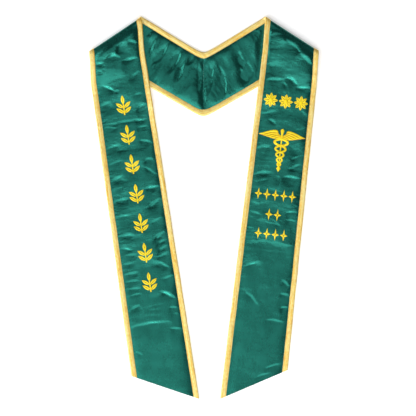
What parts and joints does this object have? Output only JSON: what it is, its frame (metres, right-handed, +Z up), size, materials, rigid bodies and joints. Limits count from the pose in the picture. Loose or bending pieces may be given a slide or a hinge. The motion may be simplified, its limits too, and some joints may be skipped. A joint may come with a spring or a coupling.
{
  "type": "graduation stole",
  "caption": "Satin stole laid flat in a V: two folded halves seamed behind the neck, gold binding along both edges, slanted tips and embroidered ornaments on the panels.",
  "frame": {"origin": "middle of the footprint, on the surface that the stole lies on", "axes": "+X towards the viewer's right across the two panels, +Y from the tips towards the neck, +Z up out of the cloth"},
  "size_m": [0.4612, 0.7652, 0.0112],
  "materials": {
    "satin": "deep green bridal satin, soft sheen, finely creased",
    "gold_binding": "folded gold satin ribbon, bright lengthwise sheen",
    "gold_thread": "bright yellow-gold rayon satin stitch"
  },
  "bodies": {
    "root": {"left_satin": "satin", "right_satin": "satin", "neck_binding": "gold_binding", "outer_binding": "gold_binding", "sprig_1": "gold_thread", "sprig_2": "gold_thread", "sprig_3": "gold_thread", "sprig_4": "gold_thread", "sprig_5": "gold_thread", "sprig_6": "gold_thread", "sprig_7": "gold_thread", "rosette_1": "gold_thread", "rosette_2": "gold_thread", "rosette_3": "gold_thread", "emblem": "gold_thread", "star_upper_1": "gold_thread", "star_upper_2": "gold_thread", "star_upper_3": "gold_thread", "star_upper_4": "gold_thread", "star_upper_5": "gold_thread", "star_middle_1": "gold_thread", "star_middle_2": "gold_thread", "star_lower_1": "gold_thread", "star_lower_2": "gold_thread", "star_lower_3": "gold_thread", "star_lower_4": "gold_thread"}
  },
  "joints": []
}
